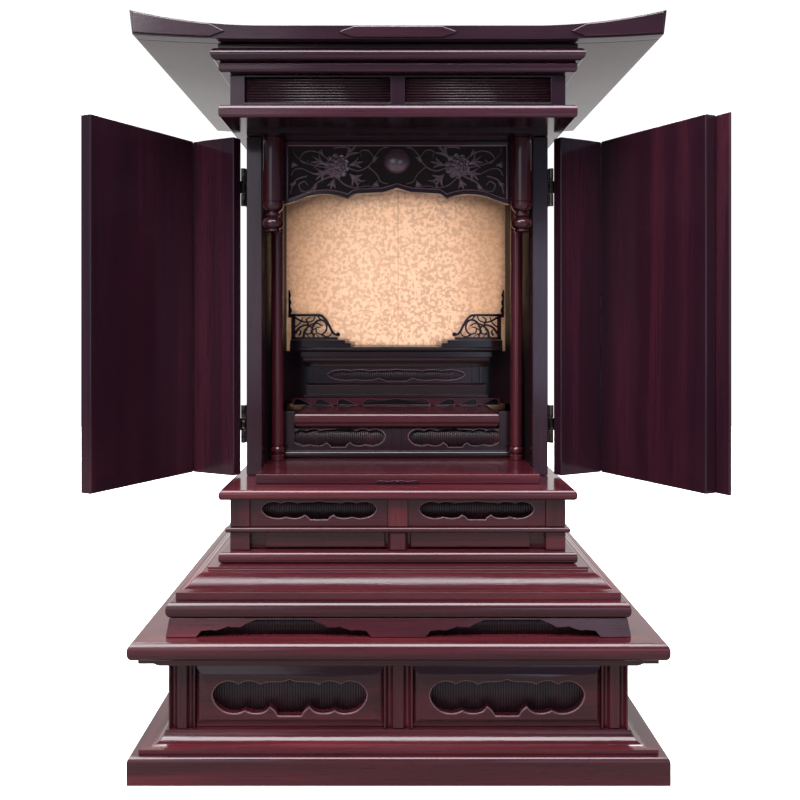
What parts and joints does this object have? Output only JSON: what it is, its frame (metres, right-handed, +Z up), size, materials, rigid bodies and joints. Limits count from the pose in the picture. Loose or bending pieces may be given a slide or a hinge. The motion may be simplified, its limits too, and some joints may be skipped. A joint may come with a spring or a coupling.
{
  "type": "household altar cabinet",
  "caption": "Household altar cabinet in dark lacquered rosewood: stepped stand, open shrine case with tiered altar and gold backdrop, flared roof and L-shaped folding-back doors.",
  "frame": {"origin": "on the underside of the plinth, on the centre line from side to side and 212.9 mm behind its front edge", "axes": "+Z up, +Y to the back, +X to the right of someone facing the open front"},
  "size_m": [0.5222, 0.4179, 0.6123],
  "materials": {
    "rosewood_lacquer": "glossy clear lacquer on dark red-brown rosewood with fine straight grain",
    "dark_lacquer": "satin near-black brown lacquer in the recesses and on the inner altar",
    "gold_paper": "fine-grained gold paper on a thin board",
    "hinge_brass": "darkened brass"
  },
  "bodies": {
    "cabinet": {"plinth_board": "rosewood_lacquer", "plinth_moulding": "rosewood_lacquer", "base_case": "rosewood_lacquer", "base_post_left": "rosewood_lacquer", "base_post_middle": "rosewood_lacquer", "base_post_right": "rosewood_lacquer", "base_panel_left": "rosewood_lacquer", "base_panel_right": "rosewood_lacquer", "shelf_board": "rosewood_lacquer", "apron_frame": "rosewood_lacquer", "torus_board": "rosewood_lacquer", "cyma_moulding": "rosewood_lacquer", "neck_sill": "rosewood_lacquer", "neck_case": "rosewood_lacquer", "neck_lower_front": "rosewood_lacquer", "neck_rail": "rosewood_lacquer", "neck_upper_frame": "rosewood_lacquer", "neck_panel_left": "rosewood_lacquer", "neck_panel_right": "rosewood_lacquer", "floor_board": "rosewood_lacquer", "inner_floor": "rosewood_lacquer", "threshold_ornament": "rosewood_lacquer", "case_side_left": "rosewood_lacquer", "case_side_right": "rosewood_lacquer", "case_back": "rosewood_lacquer", "transom": "rosewood_lacquer", "pendant_left": "rosewood_lacquer", "pendant_right": "rosewood_lacquer", "column_left": "rosewood_lacquer", "column_right": "rosewood_lacquer", "altar_shelf": "rosewood_lacquer", "cornice_plate": "rosewood_lacquer", "frieze_frame": "rosewood_lacquer", "roof_cornice": "rosewood_lacquer", "roof_board": "rosewood_lacquer", "roof_fascia": "rosewood_lacquer", "base_reeded_board": "dark_lacquer", "apron_reeded_board": "dark_lacquer", "neck_reeded_board": "dark_lacquer", "lower_altar_stage": "dark_lacquer", "upper_altar_stage": "dark_lacquer", "upper_altar_top": "dark_lacquer", "altar_fence_left": "dark_lacquer", "altar_fence_right": "dark_lacquer", "frieze_slats_left": "dark_lacquer", "frieze_slats_right": "dark_lacquer", "gold_backdrop": "gold_paper", "hinge_left_lower_case_half": "hinge_brass", "hinge_left_upper_case_half": "hinge_brass", "hinge_right_lower_case_half": "hinge_brass", "hinge_right_upper_case_half": "hinge_brass"},
    "left_door": {"door_left_side_leaf": "rosewood_lacquer", "door_left_front_leaf": "rosewood_lacquer", "hinge_left_lower_door_half": "hinge_brass", "hinge_left_upper_door_half": "hinge_brass"},
    "right_door": {"door_right_side_leaf": "rosewood_lacquer", "door_right_front_leaf": "rosewood_lacquer", "door_astragal": "rosewood_lacquer", "hinge_right_lower_door_half": "hinge_brass", "hinge_right_upper_door_half": "hinge_brass"}
  },
  "joints": [
    {"name": "left_door_hinge", "type": "hinge", "parent": "cabinet", "child": "left_door", "pos_m": [-0.1407, -0.0786, 0.37], "axis": [0, 0, 1], "range_deg": [-60, 117.5]},
    {"name": "right_door_hinge", "type": "hinge", "parent": "cabinet", "child": "right_door", "pos_m": [0.1407, -0.0786, 0.37], "axis": [0, 0, -1], "range_deg": [-60, 117.5]}
  ]
}
